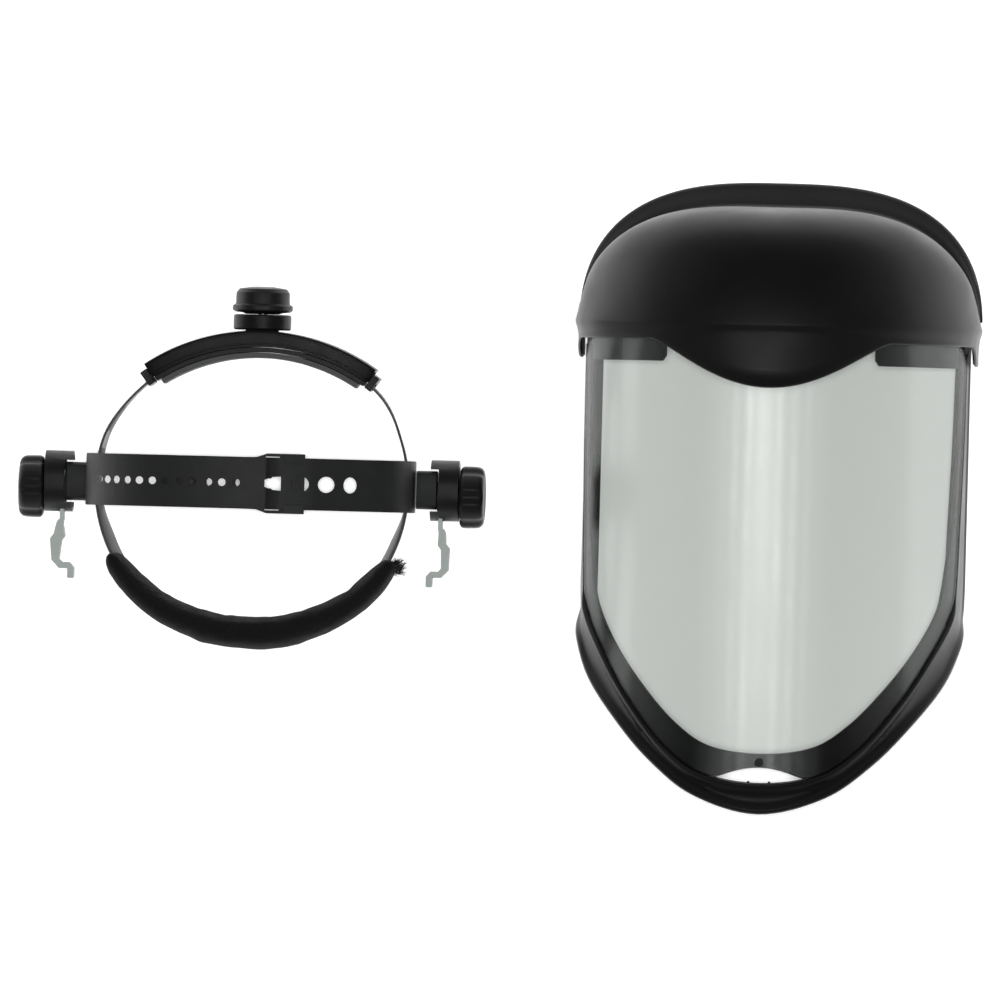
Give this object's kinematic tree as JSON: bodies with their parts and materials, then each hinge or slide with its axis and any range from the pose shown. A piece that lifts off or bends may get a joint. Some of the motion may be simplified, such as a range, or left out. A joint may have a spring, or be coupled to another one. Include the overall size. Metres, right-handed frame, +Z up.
{
  "type": "industrial face shield",
  "caption": "Black-framed clear face shield lying beside its ratchet headgear, whose side clips tilt and knobs turn.",
  "frame": {"origin": "bottom centre of the whole kit's bounding box, on the table", "axes": "+X from the headgear towards the shield, +Y towards the crown of the shield and the back of the headgear, +Z up off the table: the shield's front and the headgear's crown"},
  "size_m": [0.5484, 0.36, 0.1557],
  "materials": {
    "black_shell": "satin moulded thermoplastic",
    "black_matt_plate": "matt fine-grained plastic",
    "clear_visor": "clear hard-coated polycarbonate sheet",
    "black_knob": "satin moulded plastic",
    "dark_strap": "matt moulded strap plastic",
    "grey_strap": "matt flexible strap plastic",
    "grey_liner": "soft smooth liner",
    "grey_clip": "slightly glossy acetal-like plastic",
    "sweatband_fabric": "short-piled knitted fabric over foam",
    "steel": "plated steel"
  },
  "bodies": {
    "shield": {"brow_guard": "black_shell", "chin_frame": "black_shell", "inner_chin_plate": "black_matt_plate", "visor": "clear_visor", "chin_snap_stud": "black_matt_plate", "visor_stud_1": "black_matt_plate", "visor_stud_2": "black_matt_plate", "visor_stud_3": "black_matt_plate", "visor_stud_4": "black_matt_plate", "left_visor_retainer": "black_matt_plate", "right_visor_retainer": "black_matt_plate", "left_clip_socket": "black_matt_plate", "right_clip_socket": "black_matt_plate"},
    "headband": {"front_headband": "grey_strap", "sweatband_pad": "sweatband_fabric", "left_crown_strap": "dark_strap", "right_crown_strap": "dark_strap", "front_keeper_tab": "dark_strap", "rear_keeper_tab": "dark_strap", "crown_stud": "dark_strap", "left_side_strap": "grey_strap", "right_side_strap": "grey_strap", "left_bracket_arm": "dark_strap", "right_bracket_arm": "dark_strap", "left_pivot_bolt": "steel", "right_pivot_bolt": "steel"},
    "rear_adjuster": {"rear_band_cover": "black_shell", "rear_inner_plate": "dark_strap", "rear_liner": "grey_liner", "left_end_lug": "black_shell", "right_end_lug": "black_shell", "ratchet_housing": "black_shell", "pawl_ring": "dark_strap"},
    "left_rack": {"left_rack": "dark_strap"},
    "right_rack": {"right_rack": "dark_strap"},
    "ratchet_knob": {"ratchet_knob": "black_knob", "ratchet_shaft": "steel", "ratchet_pinion": "dark_strap"},
    "left_clip": {"left_pivot_housing": "black_knob", "left_shield_clip": "grey_clip", "left_friction_disc": "dark_strap"},
    "right_clip": {"right_pivot_housing": "black_knob", "right_shield_clip": "grey_clip", "right_friction_disc": "dark_strap"},
    "left_knob": {"left_tension_knob": "black_knob", "left_knob_nut": "steel"},
    "right_knob": {"right_tension_knob": "black_knob", "right_knob_nut": "steel"}
  },
  "joints": [
    {"name": "headgear_lift", "type": "slide", "parent": "shield", "child": "headband", "axis": [0, 0, 1], "range_m": [0, 0.2]},
    {"name": "rear_slide", "type": "slide", "parent": "headband", "child": "rear_adjuster", "axis": [0, 1, 0], "range_m": [-0.003, 0.04], "deforming": ["left_side_strap", "right_side_strap"]},
    {"name": "ratchet_turn", "type": "hinge", "parent": "rear_adjuster", "child": "ratchet_knob", "pos_m": [-0.1377, 0.0945, 0.0175], "axis": [0, 1, 0], "range_deg": [-26.4, 340.2]},
    {"name": "left_rack_slide", "type": "hinge", "parent": "rear_adjuster", "child": "left_rack", "pos_m": [-0.1377, -0.0298, 0.0175], "axis": [0, 0, 1], "range_deg": [-1.27, 15.76]},
    {"name": "right_rack_slide", "type": "hinge", "parent": "rear_adjuster", "child": "right_rack", "pos_m": [-0.1377, -0.0298, 0.0175], "axis": [0, 0, -1], "range_deg": [-1.27, 15.76]},
    {"name": "left_tilt", "type": "hinge", "parent": "headband", "child": "left_clip", "pos_m": [-0.2505, -0.0045, 0.024], "axis": [-1, 0, 0], "range_deg": [0, 85]},
    {"name": "right_tilt", "type": "hinge", "parent": "headband", "child": "right_clip", "pos_m": [-0.0309, -0.0045, 0.024], "axis": [-1, 0, 0], "range_deg": [0, 85]},
    {"name": "left_knob_turn", "type": "hinge", "parent": "headband", "child": "left_knob", "pos_m": [-0.2667, -0.0045, 0.024], "axis": [-1, 0, 0], "range_deg": [0, 270]},
    {"name": "right_knob_turn", "type": "hinge", "parent": "headband", "child": "right_knob", "pos_m": [-0.0147, -0.0045, 0.024], "axis": [1, 0, 0], "range_deg": [0, 270]}
  ],
  "couplings": [
    {"joint": "ratchet_turn", "follows": "rear_slide", "rad_per_m": 148},
    {"joint": "left_rack_slide", "follows": "rear_slide", "rad_per_m": 6.8329},
    {"joint": "right_rack_slide", "follows": "rear_slide", "rad_per_m": 6.8329}
  ]
}
